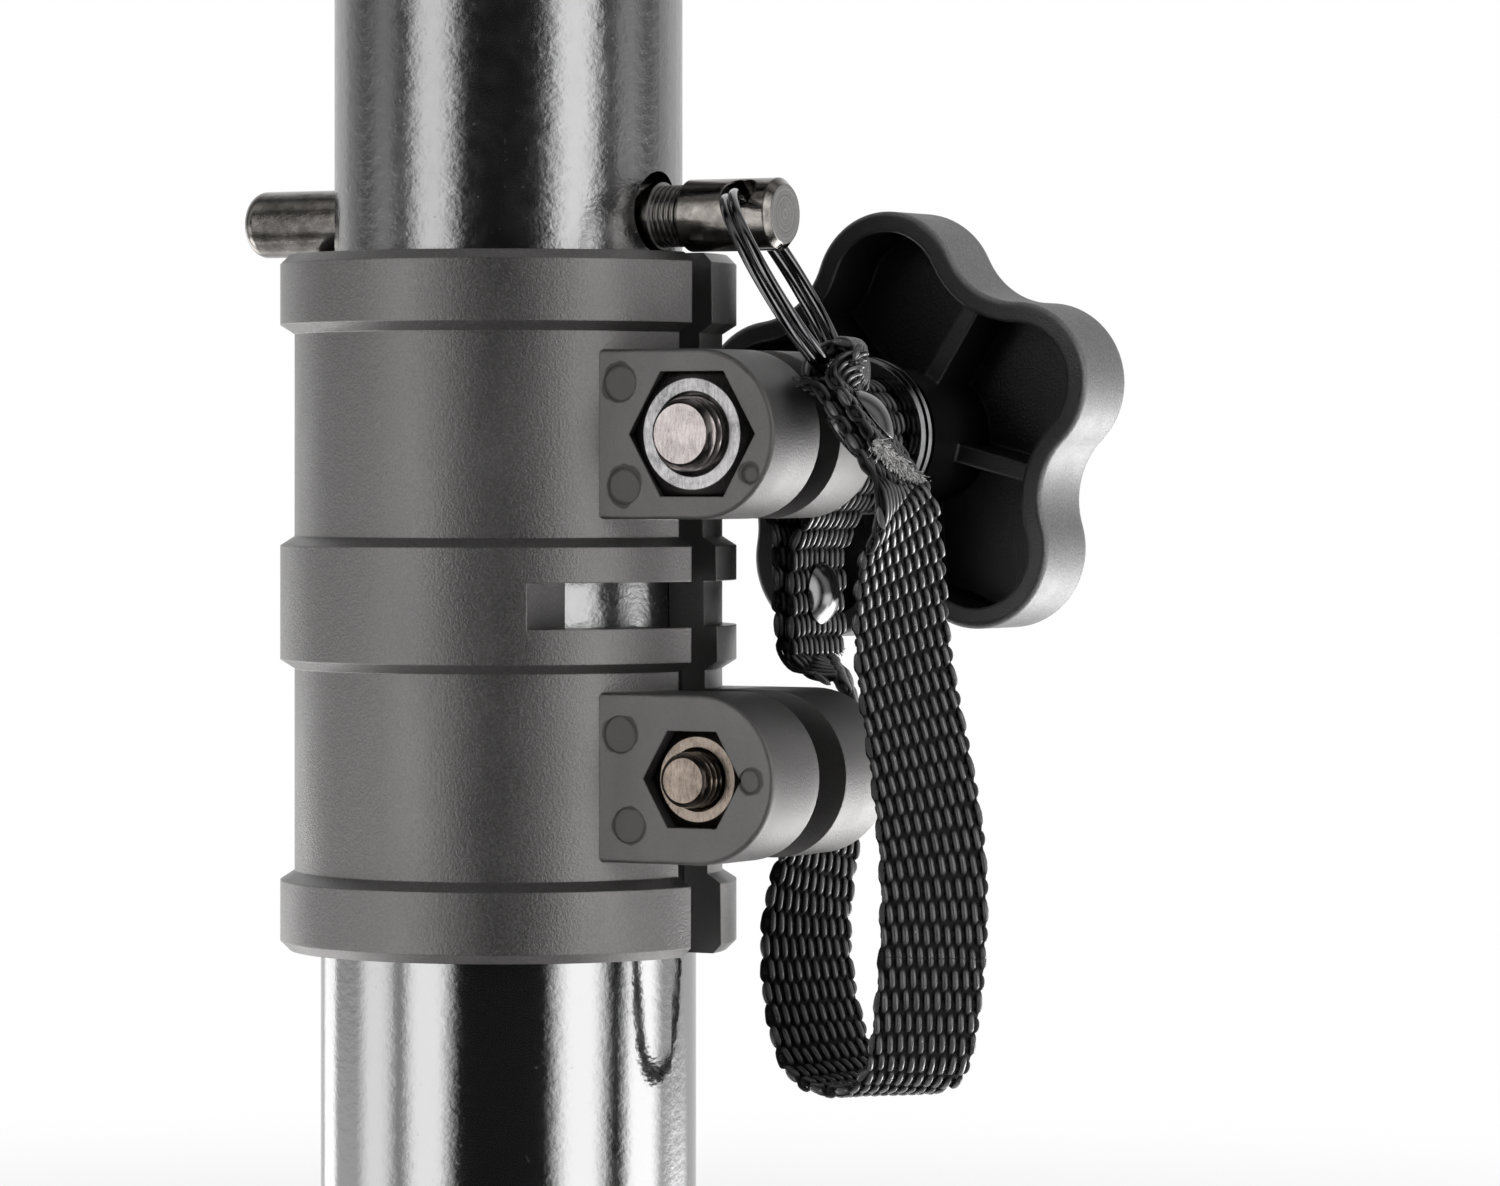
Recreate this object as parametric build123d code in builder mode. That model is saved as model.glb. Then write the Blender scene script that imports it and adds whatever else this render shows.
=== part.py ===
"""Height clamp of a telescoping stand mast: two tubes, a split sleeve, a star knob, a lock pin and its strap.

Millimetres. The origin is the centre of the outer tube's lower end and +Z runs up the mast. +X points out of
the sleeve's slit and along the lock pin to its ring. +Y runs along the screws from the nuts to the knob.
"""
import os
from math import cos, pi, radians, sin, sqrt, tan

from build123d import *

os.makedirs("parts", exist_ok=True)

# Tubes and the plug in the upper one
mast_od = 38.0
mast_wall = 1.5
tube_wall = 1.2
tube_room = 0.3
stub = 46.0
mast_foot = 14.0
plug_flange = 3.0
plug_long = 12.0
plug_wall = 2.5

# Fits
slide_fit = 0.06
thread_fit = 0.06
seat_gap = 0.03
screw_room = 0.25

# Sleeve
sleeve_h = 75.6
sleeve_wall = 2.85
ring_step = 1.55
end_ring = 8.6
mid_ring = 14.4
edge = 1.0
lip = 0.35
lip_high = 1.2
slit_front = 3.2
slit_foot = 3.6
slit_top = 0.9
window_h = 4.9
window_depth = 9.4

# Lugs and their screws
lug_r = 9.0
lug_reach = 7.15
lug_face = 13.2
lug_rear_up = 10.5
lug_rear_low = 13.3
lug_edge = 0.5
m8 = 8.0
m8_across = 13.0
m8_high = 6.5
m6 = 6.0
m6_across = 10.0
m6_high = 5.0
m6_head = 10.0
pocket_room = 0.2
nut_sink = 1.2
tip_out = 2.5
mark_deep = 0.2

# Knob, washers and bush
lobes = 5
lobe_r = 8.9
lobe_at = 16.15
valley_at = 19.25
knob_rest = 3.4
knob_wall = 2.3
knob_deep = 11.5
knob_hub = 15.0
hub_out = 6.1
rib = 2.0
washer_od = 17.5
washer_t = 1.5
bush_od = 10.0

# Lock pin and split ring
pin_r = 3.7
head_r = 3.9
head_long = 11.3
neck_r = 3.35
neck_long = 3.6
neck_grooves = 5
pin_left = 32.8
hole_room = 0.8
wire = 1.1
ring_r = 11.05
ring_turn = 28.6
ring_hole_r = 2.0
ring_hole_turn = 40.0
ring_hole_in = 4.1
ring_out = 9.2
ring_sag = -0.2

# Strap and rivets
strap_w = 12.0
strap_t = 1.6
fold_gap = 0.12
rivet_d = 6.8
rivet_dome = 1.5
rivet_shank = 1.3

# Heights and radii that follow
sleeve_foot = stub
sleeve_top = sleeve_foot + sleeve_h
mast_top = sleeve_top + stub
seat_r = mast_od / 2 + tube_room + tube_wall
bore_r = mast_od / 2 + slide_fit
body_r = seat_r + sleeve_wall
ring_or = body_r + ring_step
mid_z = sleeve_foot + sleeve_h / 2
body_h = (sleeve_h - 2 * end_ring - mid_ring) / 2
upper_z = sleeve_top - end_ring - body_h / 2
lower_z = sleeve_foot + end_ring + body_h / 2
seat_z = mid_z - window_h / 2 - edge
bolt_x = body_r + lug_reach
lug_x = bolt_x + 0.8
bush_end = lug_rear_up + strap_w + 0.4
hub_y = bush_end + 2 * washer_t
rim_y = hub_y + hub_out
pin_z = sleeve_top + head_r + seat_gap
head_x = body_r - 0.15
pin_right = head_x + head_long
across = Plane.XZ
tip_y = -(lug_face + tip_out)

# Lower tube of the mast, with a groove for the lip at the sleeve's foot
with BuildPart() as outer_tube:
    with BuildSketch(Plane.XY):
        Circle(seat_r)
        Circle(seat_r - tube_wall, mode=Mode.SUBTRACT)
    extrude(amount=seat_z)
    chamfer(outer_tube.edges().filter_by(GeomType.CIRCLE).group_by(Axis.Z)[-1], tube_wall / 4)
    with BuildSketch(Plane.XZ):
        with Locations((seat_r, sleeve_foot)):
            Rectangle(2 * lip, lip_high, align=(Align.CENTER, Align.MIN))
    revolve(axis=Axis.Z, mode=Mode.SUBTRACT)
outer_tube.part.label = "outer_tube"
export_step(outer_tube.part, "parts/outer_tube.step")

# Upper tube, with the pin's cross hole a little above the pin
with BuildPart() as inner_tube:
    with BuildSketch(Plane.XY.offset(mast_foot)):
        Circle(mast_od / 2)
        Circle(mast_od / 2 - mast_wall, mode=Mode.SUBTRACT)
    extrude(amount=mast_top - mast_foot)
    with BuildSketch(Plane.YZ):
        with Locations((0, pin_z + hole_room / 2)):
            Circle(pin_r + hole_room)
    extrude(amount=mast_od, both=True, mode=Mode.SUBTRACT)
inner_tube.part.label = "inner_tube"
export_step(inner_tube.part, "parts/inner_tube.step")

# Plug that closes the upper tube's lower end and guides it
plug_r = seat_r - tube_wall - slide_fit
with BuildPart() as guide_plug:
    with BuildSketch(Plane.XY.offset(mast_foot)):
        Circle(plug_r)
    extrude(amount=-plug_flange)
    chamfer(guide_plug.edges().filter_by(GeomType.CIRCLE).sort_by(Axis.Z)[0], plug_flange / 4)
    with BuildSketch(Plane.XY.offset(mast_foot)):
        Circle(mast_od / 2 - mast_wall)
    extrude(amount=plug_long)
    with BuildSketch(Plane.XY.offset(mast_foot - plug_flange)):
        Circle(mast_od / 2 - mast_wall - plug_wall)
    extrude(amount=plug_flange + plug_long, mode=Mode.SUBTRACT)
guide_plug.part.label = "guide_plug"
export_step(guide_plug.part, "parts/guide_plug.step")

# Split sleeve: the turned body with its three rings
with BuildPart() as clamp_sleeve:
    with BuildSketch(Plane.XZ):
        with BuildLine():
            Polyline(
                (seat_r, sleeve_foot),
                (ring_or - edge, sleeve_foot),
                (ring_or, sleeve_foot + edge),
                (ring_or, sleeve_foot + end_ring - edge),
                (body_r, sleeve_foot + end_ring),
                (body_r, mid_z - mid_ring / 2),
                (ring_or, mid_z - mid_ring / 2 + edge),
                (ring_or, mid_z + mid_ring / 2 - edge),
                (body_r, mid_z + mid_ring / 2),
                (body_r, sleeve_top - end_ring),
                (ring_or, sleeve_top - end_ring + edge),
                (ring_or, sleeve_top - edge),
                (ring_or - edge, sleeve_top),
                (bore_r, sleeve_top),
                (bore_r, seat_z),
                (seat_r, seat_z),
                (seat_r, sleeve_foot + lip_high - seat_gap),
                (seat_r - lip + seat_gap, sleeve_foot + lip_high - seat_gap),
                (seat_r - lip + seat_gap, sleeve_foot + seat_gap),
                (seat_r, sleeve_foot + seat_gap),
                close=True,
            )
        make_face()
    revolve(axis=Axis.Z)
    # Two pairs of lugs, round at the outer end
    for z, rear in ((upper_z, lug_rear_up), (lower_z, lug_rear_low)):
        with BuildSketch(across.offset(lug_face)):
            with Locations((lug_x, z)):
                Circle(lug_r)
            with Locations(((lug_x + bore_r) / 2, z)):
                Rectangle(lug_x - bore_r, 2 * lug_r)
        extrude(amount=-(lug_face + rear))
    ends = clamp_sleeve.faces().filter_by(Axis.Y).sort_by(Axis.Y)
    rims = (ends[:2] + ends[-2:]).edges().filter_by(GeomType.CIRCLE)
    fillet(rims, lug_edge)
    # The bores again, where the lugs ran into them
    with BuildSketch(Plane.XY.offset(sleeve_foot + end_ring)):
        Circle(seat_r)
    extrude(amount=seat_z - sleeve_foot - end_ring, mode=Mode.SUBTRACT)
    with BuildSketch(Plane.XY.offset(seat_z)):
        Circle(bore_r)
    extrude(amount=sleeve_h, mode=Mode.SUBTRACT)
    # Screw holes, nut pockets and the counterbore of the lower screw
    for z, bolt, wide, deep in (
        (upper_z, m8, m8_across, m8_high),
        (lower_z, m6, m6_across, m6_high + nut_sink),
    ):
        with BuildSketch(across.offset(lug_face)):
            with Locations((bolt_x, z)):
                RegularPolygon((wide + pocket_room) / 2, 6, major_radius=False)
        extrude(amount=-deep, mode=Mode.SUBTRACT)
        with BuildSketch(across):
            with Locations((bolt_x, z)):
                Circle(bolt / 2 + screw_room)
        extrude(amount=2 * lug_face, both=True, mode=Mode.SUBTRACT)
    with BuildSketch(across.offset(-lug_rear_low)):
        with Locations((bolt_x, lower_z)):
            Circle(m6_head / 2 + screw_room)
    extrude(amount=m6, mode=Mode.SUBTRACT)
    # Round moulding marks on the front faces
    for x, z, wide in (
        (body_r - 1.6, upper_z + 5.4, 3.9),
        (body_r - 1.1, upper_z - 5.5, 3.9),
        (lug_x + 6.2, upper_z - 4.2, 2.0),
        (body_r - 1.6, lower_z + 4.6, 3.9),
        (body_r - 0.5, lower_z - 5.0, 3.8),
        (lug_x + 6.2, lower_z, 2.6),
    ):
        with BuildSketch(across.offset(lug_face)):
            with Locations((x, z)):
                Circle(wide / 2)
        extrude(amount=-mark_deep, mode=Mode.SUBTRACT)
    # Slit, drawn together at the top by the knob
    with BuildSketch(Plane.YZ.offset(bore_r / 2)):
        with BuildLine():
            Polyline(
                (-slit_front, sleeve_foot - 1),
                (slit_foot, sleeve_foot - 1),
                (slit_top, sleeve_top + 1),
                (-slit_front + 0.3, sleeve_top + 1),
                close=True,
            )
        make_face()
    extrude(amount=lug_x + lug_r, mode=Mode.SUBTRACT)
    # Window through the front of the middle ring, and the notch in the ring behind the slit
    window_x = ring_or - window_depth - edge
    with BuildSketch(across):
        with Locations((window_x, mid_z)):
            Rectangle(ring_or, window_h, align=(Align.MIN, Align.CENTER))
    extrude(amount=ring_or, mode=Mode.SUBTRACT)
    with BuildSketch(Plane.XY.offset(mid_z - window_h / 2)):
        with Locations((window_x, 0)):
            Rectangle(ring_or, 2 * ring_or, align=(Align.MIN, Align.MIN))
        Circle(body_r, mode=Mode.SUBTRACT)
    extrude(amount=window_h, mode=Mode.SUBTRACT)
clamp_sleeve.part.label = "clamp_sleeve"
export_step(clamp_sleeve.part, "parts/clamp_sleeve.step")

# Hex nuts in their pockets: across flats, height, bore and where the outer face lies
for name, z, bolt, wide, high, face in (
    ("clamp_nut", upper_z, m8, m8_across, m8_high, lug_face),
    ("lower_nut", lower_z, m6, m6_across, m6_high, lug_face - nut_sink),
):
    with BuildPart() as nut:
        with BuildSketch(across.offset(face)):
            with Locations((bolt_x, z)):
                RegularPolygon(wide / 2, 6, major_radius=False)
        extrude(amount=-high)
        # The corners are turned off towards both faces
        with BuildSketch(across.offset(face)):
            with Locations((bolt_x, z)):
                Circle(wide * 0.45)
        extrude(amount=-high / 2, taper=-60, mode=Mode.INTERSECT)
        with BuildSketch(across.offset(face - high)):
            with Locations((bolt_x, z)):
                RegularPolygon(wide / 2, 6, major_radius=False)
        extrude(amount=high / 2)
        with BuildSketch(across.offset(face)):
            with Locations((bolt_x, z)):
                Circle(bolt / 2 + thread_fit)
        extrude(amount=-high, mode=Mode.SUBTRACT)
        mouth = nut.edges().filter_by(GeomType.CIRCLE).sort_by(SortBy.RADIUS)[:2]
        chamfer(mouth, bolt * 0.06)
    nut.part.label = name
    export_step(nut.part, f"parts/{name}.step")

# Cap screw of the lower lugs
with BuildPart() as lower_screw:
    with BuildSketch(across.offset(-lug_rear_low)):
        with Locations((bolt_x, lower_z)):
            Circle(m6_head / 2)
    extrude(amount=m6)
    chamfer(lower_screw.edges().filter_by(GeomType.CIRCLE).sort_by(Axis.Y)[-1], 0.6)
    with BuildSketch(across.offset(-lug_rear_low)):
        with Locations((bolt_x, lower_z)):
            RegularPolygon(2.5, 6, major_radius=False)
    extrude(amount=m6 / 2, mode=Mode.SUBTRACT)
    with BuildSketch(across.offset(m6 - lug_rear_low)):
        with Locations((bolt_x, lower_z)):
            Circle(m6 / 2)
    extrude(amount=lug_rear_low - m6 - tip_y + 0.6)
    chamfer(lower_screw.edges().filter_by(GeomType.CIRCLE).sort_by(Axis.Y)[0], 0.6)
lower_screw.part.label = "lower_screw"
export_step(lower_screw.part, "parts/lower_screw.step")

# Spacer on the stud inside the strap's rear loop
with BuildPart() as strap_bush:
    with BuildSketch(across.offset(-lug_rear_up)):
        with Locations((bolt_x, upper_z)):
            Circle(bush_od / 2)
            Circle(m8 / 2 + screw_room, mode=Mode.SUBTRACT)
    extrude(amount=lug_rear_up - bush_end)
strap_bush.part.label = "strap_bush"
export_step(strap_bush.part, "parts/strap_bush.step")

# Two washers under the knob's hub
for name, y in (("inner_washer", bush_end), ("outer_washer", bush_end + washer_t)):
    with BuildPart() as washer:
        with BuildSketch(across.offset(-y)):
            with Locations((bolt_x, upper_z)):
                Circle(washer_od / 2)
                Circle(m8 / 2 + screw_room, mode=Mode.SUBTRACT)
        extrude(amount=-washer_t)
        rims = washer.edges().filter_by(GeomType.CIRCLE).sort_by(SortBy.RADIUS)[-2:]
        chamfer(rims, washer_t / 4)
    washer.part.label = name
    export_step(washer.part, f"parts/{name}.step")

# Outline of the knob: round lobes joined by tangent hollows
half = pi / lobes
valley_r = (lobe_at**2 + valley_at**2 - 2 * lobe_at * valley_at * cos(half) - lobe_r**2) / (
    2 * (lobe_r + lobe_at * cos(half) - valley_at)
)


def star(inset):
    """Lobes and hollows of the outline, moved in by a wall's thickness."""
    for i in range(lobes):
        turn = pi / 2 - 2 * half * i
        tip = Vector(cos(turn), sin(turn)) * lobe_at
        hollow = Vector(cos(turn - half), sin(turn - half))
        before = Vector(cos(turn + half), sin(turn + half)) * (valley_at + valley_r)
        after = hollow * (valley_at + valley_r)
        following = Vector(cos(turn - 2 * half), sin(turn - 2 * half)) * lobe_at
        lobe = lobe_r - inset
        start = tip + (before - tip).normalized() * lobe
        end = tip + (after - tip).normalized() * lobe
        next_start = following + (after - following).normalized() * lobe
        ThreePointArc(start, tip.normalized() * (lobe_at + lobe), end)
        ThreePointArc(end, hollow * (valley_at - inset), next_start)


rest = radians(knob_rest)
hub_plane = Plane(origin=(bolt_x, rim_y, upper_z), x_dir=(cos(rest), 0, sin(rest)), z_dir=(0, -1, 0))
stud_end = rim_y + knob_deep - 5.5

# Star knob, hollow towards the clamp
with BuildPart() as star_knob:
    with BuildSketch(hub_plane):
        with BuildLine():
            star(0)
        make_face()
    extrude(amount=-knob_deep)
    fillet(star_knob.faces().sort_by(Axis.Y)[-1].edges(), 2.2)
    fillet(star_knob.faces().sort_by(Axis.Y)[0].edges(), 0.6)
    with BuildSketch(hub_plane):
        with BuildLine():
            star(knob_wall)
        make_face()
    extrude(amount=knob_wall - knob_deep, mode=Mode.SUBTRACT)
    # Hub and the ribs that tie it to the hollows of the wall
    with BuildSketch(hub_plane.offset(hub_out)):
        Circle(knob_hub / 2)
    extrude(amount=knob_wall - knob_deep - hub_out)
    with BuildSketch(hub_plane.offset(-1.6)):
        with PolarLocations(0, lobes, start_angle=90 - 180 / lobes):
            Rectangle(valley_at - knob_wall / 2, rib, align=(Align.MIN, Align.CENTER))
    extrude(amount=knob_wall - knob_deep + 1.6)
    with BuildSketch(hub_plane.offset(hub_out)):
        Circle(m8 / 2)
    extrude(amount=hub_y - stud_end, mode=Mode.SUBTRACT)
star_knob.part.label = "star_knob"
export_step(star_knob.part, "parts/star_knob.step")

# Threaded stud moulded into the knob
with BuildPart() as knob_stud:
    with BuildSketch(across.offset(-stud_end)):
        with Locations((bolt_x, upper_z)):
            Circle(m8 / 2)
    extrude(amount=stud_end - tip_y)
    chamfer(knob_stud.edges().filter_by(GeomType.CIRCLE).sort_by(Axis.Y)[0], 0.8)
knob_stud.part.label = "knob_stud"
export_step(knob_stud.part, "parts/knob_stud.step")

# The split ring leans a little in the head's cross hole and hangs out to the side
def slanted(turn):
    """Direction towards the front, raised by this many degrees."""
    return Vector(0, -cos(radians(turn)), sin(radians(turn)))


ring_side = slanted(ring_turn)
hole_at = Vector(pin_right - ring_hole_in, 0, pin_z)
lean = (lug_x + lug_r + ring_out - hole_at.X) / (pin_z - upper_z)
hang = Vector(lean, -tan(radians(ring_turn)), -1).normalized()
ring_axis = ring_side.cross(hang).normalized()
ring_at = hole_at + hang * (ring_r + ring_sag)

# Lock pin with a grooved neck and a drilled head
neck_x = head_x - neck_long
groove = neck_long / (neck_grooves + 0.5)
with BuildPart() as lock_pin:
    with BuildSketch(Plane.XZ):
        with BuildLine():
            Polyline(
                (-pin_left, pin_z),
                (-pin_left, pin_z + pin_r),
                (neck_x, pin_z + pin_r),
                (neck_x, pin_z + neck_r),
                (head_x, pin_z + neck_r),
                (head_x, pin_z + head_r),
                (pin_right, pin_z + head_r),
                (pin_right, pin_z),
                close=True,
            )
        make_face()
        for i in range(neck_grooves):
            with Locations((head_x - groove * (i + 0.7), pin_z + neck_r)):
                Rectangle(groove / 2, groove * 0.7, mode=Mode.SUBTRACT)
    revolve(axis=Axis((0, 0, pin_z), (1, 0, 0)))
    fillet(lock_pin.edges().filter_by(GeomType.CIRCLE).sort_by(Axis.X)[0], 1.6)
    chamfer(lock_pin.edges().filter_by(GeomType.CIRCLE).sort_by(Axis.X)[-1], 0.7)
    with BuildSketch(Plane(origin=hole_at, z_dir=slanted(ring_hole_turn))):
        Circle(ring_hole_r)
    extrude(amount=2 * head_r, both=True, mode=Mode.SUBTRACT)
lock_pin.part.label = "lock_pin"
export_step(lock_pin.part, "parts/lock_pin.step")

# Split ring: two coils of wire side by side
with BuildPart() as split_ring:
    for side in (-0.48, 0.48):
        with BuildSketch(Plane(origin=ring_at, x_dir=hang, z_dir=-ring_side)):
            with Locations((ring_r, side * wire)):
                Circle(wire / 2)
        revolve(axis=Axis(ring_at, ring_axis))
split_ring.part.label = "split_ring"
export_step(split_ring.part, "parts/split_ring.step")


# Strap: the rear loop lies round the bush, and the doubled ends are held by rivets
loop_y = (lug_rear_up + bush_end) / 2
wrap = bush_od / 2 + screw_room + strap_t / 2
cut = wrap * 0.414
lay = (strap_t + fold_gap) / 2
tail_x = bolt_x - 2.2
ring_foot = (ring_axis * ring_axis.Z - Vector(0, 0, 1)).normalized()
ring_low = ring_at + ring_foot * ring_r
low_bend = Vector(bolt_x + 7.5, loop_y - 3.1, sleeve_foot - 14.8)
seam = Vector(10.1, -5.85, 15.05)


def heading(turn):
    """Level direction across the strap, turned from +X."""
    return Vector(cos(radians(turn)), sin(radians(turn)), 0)


def by_ring(out, down):
    """Place near the ring's lowest point, out along its axis and down in its plane."""
    return ring_low + ring_axis * out + ring_foot * down


fold_turn = 108.4
fold_along = Vector(0.665, -0.27, -0.697).normalized()
fold_face = fold_along.cross(heading(fold_turn)).normalized()
fold_mid = ring_low + fold_along * 7.5 + Vector(-0.7, -0.4, 0)
inner_lay = fold_mid - fold_face * lay
outer_lay = fold_mid + fold_face * lay
rivet_z = upper_z - 17.3

# Each stop of a route is a corner of the run, the strap's heading there and the share of its width
rear_route = [
    (Vector(tail_x + lay, loop_y, rivet_z - 6.6), 90, 1),
    (Vector(tail_x + lay, loop_y, rivet_z + 1.0), 90, 1),
    (Vector(tail_x + lay, loop_y, rivet_z + 6.0), 90, 1),
    (Vector(bolt_x + wrap, loop_y, upper_z - cut), 90, 1),
    (Vector(bolt_x + wrap, loop_y, upper_z + cut), 90, 1),
    (Vector(bolt_x + cut, loop_y, upper_z + wrap), 90, 1),
    (Vector(bolt_x - cut, loop_y, upper_z + wrap), 90, 1),
    (Vector(bolt_x - wrap, loop_y, upper_z + cut), 90, 1),
    (Vector(bolt_x - wrap, loop_y, upper_z - cut), 90, 1),
    (Vector(tail_x - lay, loop_y, rivet_z + 6.0), 90, 1),
    (Vector(tail_x - lay, loop_y, rivet_z - 0.2), 90, 1),
    (Vector(tail_x - lay, loop_y, rivet_z - 6.6), 90, 1),
    (low_bend + Vector(-6.9, 6.8, 44.4), 118, 1),
    (low_bend + Vector(-7.3, 8.8, 38.3), 117, 1),
    (low_bend + Vector(-9.2, 8.2, 31.8), 88, 1),
    (low_bend + Vector(-10.6, 6.8, 24.3), 72, 1),
    (low_bend + Vector(-11.7, 5.6, 17.3), 66, 1),
    (low_bend + Vector(-10.6, 5.0, 7.8), 60, 1),
    (low_bend + Vector(-6.5, 3.2, 0), 55, 1),
    (low_bend + Vector(6.5, -3.2, 0), 48, 1),
    (low_bend + Vector(9.6, -5.6, 9.8), 45, 1),
    (low_bend + seam, 44.5, 1),
]
front_route = [
    (low_bend + seam, 44.5, 1),
    (low_bend + Vector(10.6, -6.1, 20.3), 44, 1),
    (low_bend + Vector(10.2, -6.3, 28.3), 46, 1),
    (low_bend + Vector(9.5, -7.7, 36.8), 55, 1),
    (low_bend + Vector(8.8, -10.4, 47.3), 62, 1),
    (low_bend + Vector(11.0, -15.1, 56.8), 72, 1),
    (inner_lay + fold_along * 10.0, 98, 1),
    (inner_lay + fold_along * 6.0, fold_turn, 1),
    (inner_lay - fold_along * 2.5, fold_turn, 1),
    (inner_lay - fold_along * 3.8, fold_turn, 1),
    (by_ring(-1.75, 1.8), fold_turn, 0.78),
    (by_ring(-2.3, -2.6), fold_turn, 0.66),
    (by_ring(3.9, -2.6), fold_turn, 0.66),
    (by_ring(1.8, 1.4), fold_turn, 0.85),
    (outer_lay - fold_along * 4.4, fold_turn, 0.97),
    (outer_lay - fold_along * 2.6, fold_turn, 1),
    (outer_lay + fold_along * 7.0, fold_turn, 1),
]


def stations(route):
    """Places along the rounded route, the direction there, the heading and the width."""
    stops = [(p, Vector(turn, share)) for p, turn, share in route]
    joints = [(0.5 * (p + q), 0.5 * (u + v)) for (p, u), (q, v) in zip(stops[1:-2], stops[2:-1])]
    joints = [stops[0]] + joints + [stops[-1]]
    for (a, u), (corner, middle), (b, v) in zip(joints, stops[1:-1], joints[1:]):
        yield a, corner - a, u
        yield a * 0.25 + corner * 0.5 + b * 0.25, b - a, u * 0.25 + middle * 0.5 + v * 0.25
    yield stops[-1][0], stops[-1][0] - stops[-2][0], stops[-1][1]


# Webbing: the flat section is set square to the route at each place and joined by straight runs
fold_grip = Plane(origin=fold_mid, x_dir=fold_along, z_dir=fold_face)
tail_grip = Plane(origin=(tail_x, loop_y, rivet_z), x_dir=(0, 0, 1), z_dir=(1, 0, 0))
for name, route, grip in (
    ("strap_rear", rear_route, tail_grip),
    ("strap_front", front_route, fold_grip),
):
    with BuildPart() as strap:
        for place, along, lie in stations(route):
            along = along.normalized()
            level = heading(lie.X)
            with BuildSketch(Plane(origin=place, x_dir=level - along * level.dot(along), z_dir=along)):
                Rectangle(strap_w * lie.Y, strap_t)
        loft(ruled=True)
        with BuildSketch(grip):
            Circle(rivet_shank + seat_gap)
        extrude(amount=3 * strap_t, both=True, mode=Mode.SUBTRACT)
    strap.part.label = name
    export_step(strap.part, f"parts/{name}.step")

# Rivets: a domed head with its shank, and a flat cap on the other side of the two layers
grip_half = lay + strap_t / 2 + seat_gap
dome_r = (rivet_d**2 / 4 + rivet_dome**2) / (2 * rivet_dome)
dome_mid = rivet_d / 4
for name, grip in (("rear_rivet", tail_grip), ("front_rivet", fold_grip)):
    side = Plane(origin=grip.origin, x_dir=grip.x_dir, z_dir=grip.x_dir.cross(grip.z_dir))
    with BuildPart() as rivet:
        with BuildSketch(side):
            with BuildLine():
                ThreePointArc(
                    (rivet_d / 2, grip_half),
                    (dome_mid, grip_half + rivet_dome - dome_r + sqrt(dome_r**2 - dome_mid**2)),
                    (0, grip_half + rivet_dome),
                )
                Polyline(
                    (0, grip_half + rivet_dome),
                    (0, -grip_half),
                    (rivet_shank, -grip_half),
                    (rivet_shank, grip_half),
                    (rivet_d / 2, grip_half),
                )
            make_face()
        revolve(axis=Axis(grip.origin, grip.z_dir))
    rivet.part.label = name
    export_step(rivet.part, f"parts/{name}.step")
    with BuildPart() as cap:
        with BuildSketch(grip.offset(-grip_half)):
            Circle(rivet_d * 0.45)
        extrude(amount=-0.9)
        chamfer(cap.faces().sort_by(Axis(grip.origin, grip.z_dir))[0].edges(), 0.4)
    cap.part.label = f"{name}_cap"
    export_step(cap.part, f"parts/{name}_cap.step")
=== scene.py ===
"""Looks of a telescoping mast clamp: gloss tubes, moulded sleeve, star knob, lock pin and its webbing strap.

Metres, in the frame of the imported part: +Z runs up the mast, +X out of the sleeve's slit and +Y from the
nuts to the knob. Sizes that repeat the part's own are written in millimetres and turned into metres by mm().
"""
import random
from math import cos, pi, radians, sin

import bpy
import numpy as np
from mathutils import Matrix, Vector


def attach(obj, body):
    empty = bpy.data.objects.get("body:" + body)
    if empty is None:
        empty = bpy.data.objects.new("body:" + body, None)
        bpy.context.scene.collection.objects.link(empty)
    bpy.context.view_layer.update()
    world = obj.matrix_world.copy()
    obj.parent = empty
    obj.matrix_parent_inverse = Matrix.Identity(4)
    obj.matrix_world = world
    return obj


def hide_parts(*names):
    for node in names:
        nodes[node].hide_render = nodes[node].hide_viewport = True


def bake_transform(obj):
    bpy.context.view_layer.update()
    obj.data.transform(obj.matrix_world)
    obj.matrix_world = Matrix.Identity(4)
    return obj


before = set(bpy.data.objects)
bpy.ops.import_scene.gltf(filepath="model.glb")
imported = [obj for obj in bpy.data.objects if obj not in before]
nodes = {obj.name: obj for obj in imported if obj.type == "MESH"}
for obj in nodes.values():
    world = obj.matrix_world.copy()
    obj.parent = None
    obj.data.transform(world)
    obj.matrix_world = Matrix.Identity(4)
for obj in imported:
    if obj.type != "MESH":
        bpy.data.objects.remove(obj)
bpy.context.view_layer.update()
scene = bpy.context.scene
rng = random.Random(8405)


def mm(*values):
    """Millimetres as metres: one number, or a Vector of several."""
    if len(values) == 1:
        return values[0] * 0.001
    return Vector(values) * 0.001


# Sizes that the part's pieces share, in millimetres
BOLT_X = 30.5
UPPER_Z = 102.0
LOWER_Z = 65.6
SLEEVE_FOOT = 46.0
BODY_R = 23.35
LUG_X = BOLT_X + 0.8
PIN_Z = 125.53

# The strap: its section, its loop round the stud, and a layer's distance from the middle of a fold. OCTAGON
# is half a side of an octagon round a circle, as a share of the circle's radius
STRAP_W = 12.0
STRAP_T = 1.6
LOOP_Y = 16.7
OCTAGON = 0.414
WRAP = 6.05
CUT = WRAP * OCTAGON
LAY = 0.86
TAIL_X = BOLT_X - 2.2
RIVET_Z = UPPER_Z - 17.3


# Node helpers
def node(tree, kind, inputs=None, **settings):
    """A new shader node; each input is a value or another node's output."""
    made = tree.nodes.new("ShaderNode" + kind)
    for name, value in settings.items():
        setattr(made, name, value)
    for socket, value in (inputs or {}).items():
        if isinstance(value, bpy.types.NodeSocket):
            tree.links.new(value, made.inputs[socket])
        else:
            made.inputs[socket].default_value = value
    return made


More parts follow.
